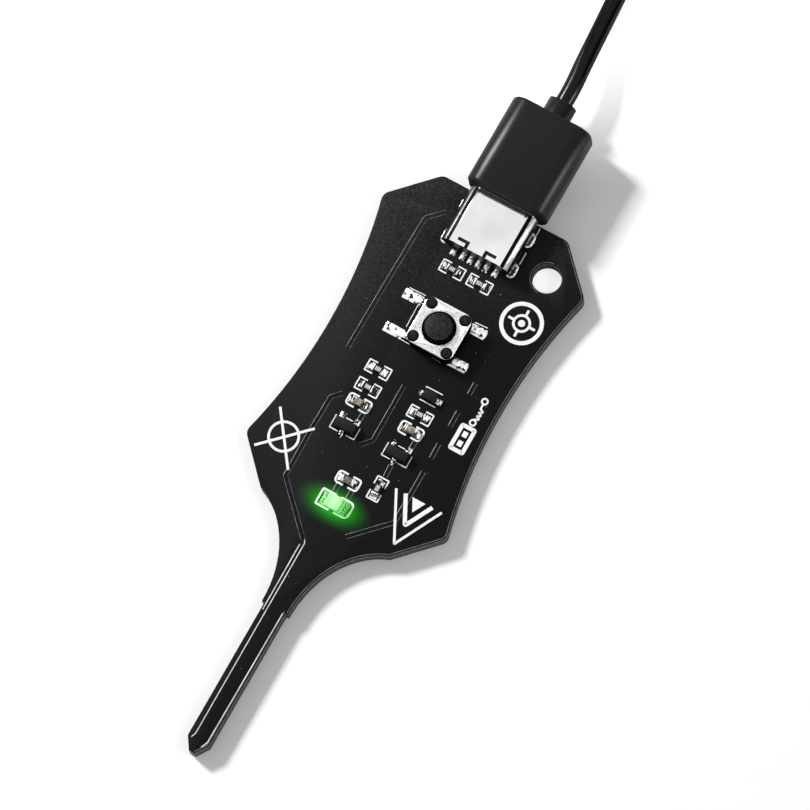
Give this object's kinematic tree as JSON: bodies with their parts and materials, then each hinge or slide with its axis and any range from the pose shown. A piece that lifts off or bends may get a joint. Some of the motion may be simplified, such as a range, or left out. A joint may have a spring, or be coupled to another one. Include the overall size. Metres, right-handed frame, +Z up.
{
  "type": "ignition coil tester",
  "caption": "Black circuit board with a slim pointed probe, push button, green lamp, lanyard hole and a power socket with its coiled lead plugged in.",
  "frame": {"origin": "centre of the board's bounding box on the surface it lies on", "axes": "+Y along the board from the probe's tip to the socket, +Z up out of the side that carries the parts, +X to the side of the lanyard hole"},
  "size_m": [0.0444, 0.1398, 0.0114],
  "materials": {
    "board": "matte black solder mask over glass-epoxy board",
    "tin": "tin plating and solder",
    "shell": "nickel-plated stamped steel",
    "cover_plate": "satin stamped steel plate",
    "black_moulding": "moulded black nylon or epoxy",
    "button": "moulded black nylon",
    "gilt": "gold flash on copper alloy",
    "resistor": "black glaze on a ceramic chip",
    "capacitor": "fired ceramic chip",
    "lamp_carrier": "white laminate",
    "lamp": "clear epoxy, lit green",
    "grip": "satin moulded PVC",
    "cable": "satin extruded PVC",
    "tie": "woven hook-and-loop strap",
    "white_moulding": "moulded white plastic"
  },
  "bodies": {
    "tester": {"circuit_board": "board", "solder_pads": "tin", "solder_fillets": "tin", "socket_shell": "shell", "socket_moulding": "black_moulding", "socket_contacts": "gilt", "switch_base": "black_moulding", "switch_terminals": "tin", "switch_dome": "shell", "switch_cover": "cover_plate", "left_pull_down_resistor": "resistor", "right_pull_down_resistor": "resistor", "left_upper_resistor": "resistor", "left_lower_resistor": "resistor", "right_resistor": "resistor", "turned_resistor": "resistor", "lamp_resistor": "resistor", "left_capacitor": "capacitor", "right_capacitor": "capacitor", "chip_end_caps": "tin", "left_transistor": "black_moulding", "right_transistor": "black_moulding", "transistor_leads": "tin", "diode": "black_moulding", "diode_leads": "tin", "lamp_carrier": "lamp_carrier", "lamp_terminals": "gilt", "lamp_block_clear": "lamp", "plug_shell": "shell", "plug_moulding": "black_moulding", "plug_contacts": "gilt", "plug_grip": "grip", "cable_run": "cable", "cable_coil": "cable", "cable_end": "cable", "coil_tie": "tie", "far_plug_shell": "shell", "far_plug_moulding": "white_moulding", "far_plug_contacts": "gilt", "far_plug_grip": "grip"},
    "button": {"switch_button": "button"}
  },
  "joints": [
    {"name": "button_press", "type": "slide", "parent": "tester", "child": "button", "axis": [0, 0, -1], "range_m": [0, 0.00025], "stiffness_N_per_m": 4000, "deforming": ["switch_dome"]}
  ]
}
